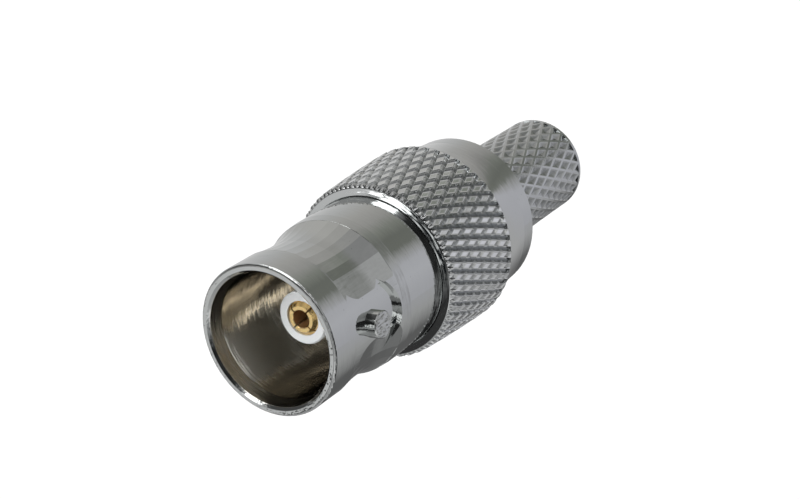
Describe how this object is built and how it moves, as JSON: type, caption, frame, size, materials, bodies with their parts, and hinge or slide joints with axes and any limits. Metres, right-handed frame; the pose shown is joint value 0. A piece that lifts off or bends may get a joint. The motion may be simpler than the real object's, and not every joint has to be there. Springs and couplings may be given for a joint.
{
  "type": "bnc cable jack",
  "caption": "Coaxial cable jack with a bayonet mouth, milled waist, knurled grip, slotted socket contact and a loose knurled crimp ferrule.",
  "frame": {"origin": "middle of the crimp ferrule's rear face, on the connector's axis", "axes": "+Z along the axis towards the open mouth, +X out of one bayonet stud"},
  "size_m": [0.0128, 0.0128, 0.0355],
  "materials": {
    "shell_plating": "bright nickel plating with milling marks",
    "body_plating": "bright nickel plating",
    "ferrule_plating": "satin nickel plating",
    "insulator": "waxy white fluoroplastic",
    "gold_plating": "gold plating"
  },
  "bodies": {
    "connector": {"jack_shell": "shell_plating", "rear_body": "body_plating", "front_insulator": "insulator", "rear_insulator": "insulator", "socket_contact": "gold_plating"},
    "ferrule": {"crimp_ferrule": "ferrule_plating"}
  },
  "joints": [
    {"name": "ferrule_slide", "type": "slide", "parent": "connector", "child": "ferrule", "axis": [0, 0, -1], "range_m": [0, 0.0112]}
  ]
}
